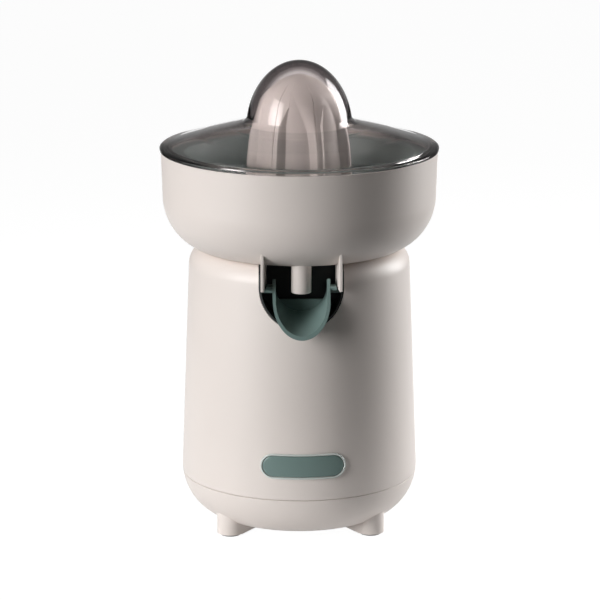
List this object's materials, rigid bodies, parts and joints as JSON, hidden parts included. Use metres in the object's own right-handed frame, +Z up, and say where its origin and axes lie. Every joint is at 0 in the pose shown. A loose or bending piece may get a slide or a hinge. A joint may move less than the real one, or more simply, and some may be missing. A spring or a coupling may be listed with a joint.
{
  "type": "citrus press juicer",
  "caption": "Upright electric citrus juicer: ribbed reamer cone in a lift-off bowl with strainer, clear domed cover and tilting front spout on a cylindrical geared motor base.",
  "frame": {"origin": "centre of the machine's plan, at the underside of the foot pads", "axes": "+Z up along the spindle, -Y towards the spout, +X to the right seen from the front"},
  "size_m": [0.1688, 0.1688, 0.2856],
  "materials": {
    "white_plastic": "semi-gloss moulded, warm white",
    "teal_plastic": "semi-gloss moulded, grey teal",
    "clear_plastic": "clear polished",
    "steel": "bright zinc or ground steel",
    "electrical_iron": "stamped silicon-steel laminations",
    "bronze": "sintered bronze",
    "copper": "enamelled copper wire, lacquered",
    "rubber": "matt rubber",
    "nylon": "natural nylon",
    "black_plastic": "black moulded",
    "pale_plastic": "semi-gloss pale edge"
  },
  "bodies": {
    "base": {"base_cover": "white_plastic", "main_housing": "white_plastic", "niche_liner": "black_plastic", "badge_plate": "teal_plastic", "badge_rim": "pale_plastic", "cord_gland": "black_plastic", "idler_axle": "steel", "spindle_bush": "bronze", "lower_bush": "bronze", "spindle_seal": "rubber", "spindle_spring": "steel", "gearbox_plate": "black_plastic", "microswitch": "black_plastic", "stator_stack": "electrical_iron", "coil_bobbin": "nylon", "field_coil": "copper", "motor_bracket_upper": "steel", "motor_bracket_lower": "steel", "motor_bearing_upper": "bronze", "motor_bearing_lower": "bronze", "foot_pad_1": "rubber", "base_screw_1": "steel", "gearbox_screw_1": "steel", "foot_pad_2": "rubber", "base_screw_2": "steel", "gearbox_screw_2": "steel", "foot_pad_3": "rubber", "base_screw_3": "steel", "gearbox_screw_3": "steel", "foot_pad_4": "rubber", "base_screw_4": "steel", "gearbox_screw_4": "steel", "motor_bolt_1": "steel", "motor_bolt_2": "steel"},
    "bowl": {"juice_bowl": "white_plastic", "strainer": "teal_plastic"},
    "cover": {"dust_cover": "clear_plastic"},
    "press": {"thrust_washer": "bronze"},
    "spindle": {"drive_shaft": "steel", "output_gear": "nylon", "drive_head": "nylon"},
    "cone": {"reamer_cone": "white_plastic"},
    "idler": {"idler_gear": "nylon"},
    "motor_rotor": {"rotor": "electrical_iron", "rotor_shaft": "steel", "motor_pinion": "bronze", "cooling_fan": "black_plastic"},
    "plunger": {"switch_plunger": "nylon"},
    "spout": {"spout": "teal_plastic"}
  },
  "joints": [
    {"name": "bowl_lift", "type": "slide", "parent": "base", "child": "bowl", "axis": [0, 0, 1], "range_m": [0, 0.07]},
    {"name": "cover_lift", "type": "slide", "parent": "bowl", "child": "cover", "axis": [0, 0, 1], "range_m": [0, 0.06]},
    {"name": "shaft_press", "type": "slide", "parent": "base", "child": "press", "axis": [0, 0, -1], "range_m": [0, 0.0025], "stiffness_N_per_m": 1500, "springref_m": -0.004, "deforming": ["spindle_spring"]},
    {"name": "shaft_spin", "type": "hinge", "parent": "press", "child": "spindle", "pos_m": [0, 0, 0.162], "axis": [0, 0, 1], "continuous": true},
    {"name": "cone_lift", "type": "slide", "parent": "spindle", "child": "cone", "axis": [0, 0, 1], "range_m": [0, 0.07]},
    {"name": "motor_spin", "type": "hinge", "parent": "base", "child": "motor_rotor", "pos_m": [0.014, 0.01075, 0.101], "axis": [0, 0, 1], "continuous": true},
    {"name": "idler_spin", "type": "hinge", "parent": "base", "child": "idler", "pos_m": [0, 0.035, 0.158], "axis": [0, 0, 1], "continuous": true},
    {"name": "switch_press", "type": "slide", "parent": "base", "child": "plunger", "axis": [0, 0, -1], "range_m": [0, 0.0025]},
    {"name": "spout_tilt", "type": "hinge", "parent": "base", "child": "spout", "pos_m": [0, -0.06, 0.1579], "axis": [-1, 0, 0], "range_deg": [0, 20]}
  ],
  "couplings": [
    {"joint": "shaft_spin", "follows": "motor_spin", "ratio": 0.0625},
    {"joint": "idler_spin", "follows": "motor_spin", "ratio": -0.25},
    {"joint": "cone_lift", "follows": "bowl_lift", "ratio": 1},
    {"joint": "switch_press", "follows": "shaft_press", "ratio": 1}
  ]
}
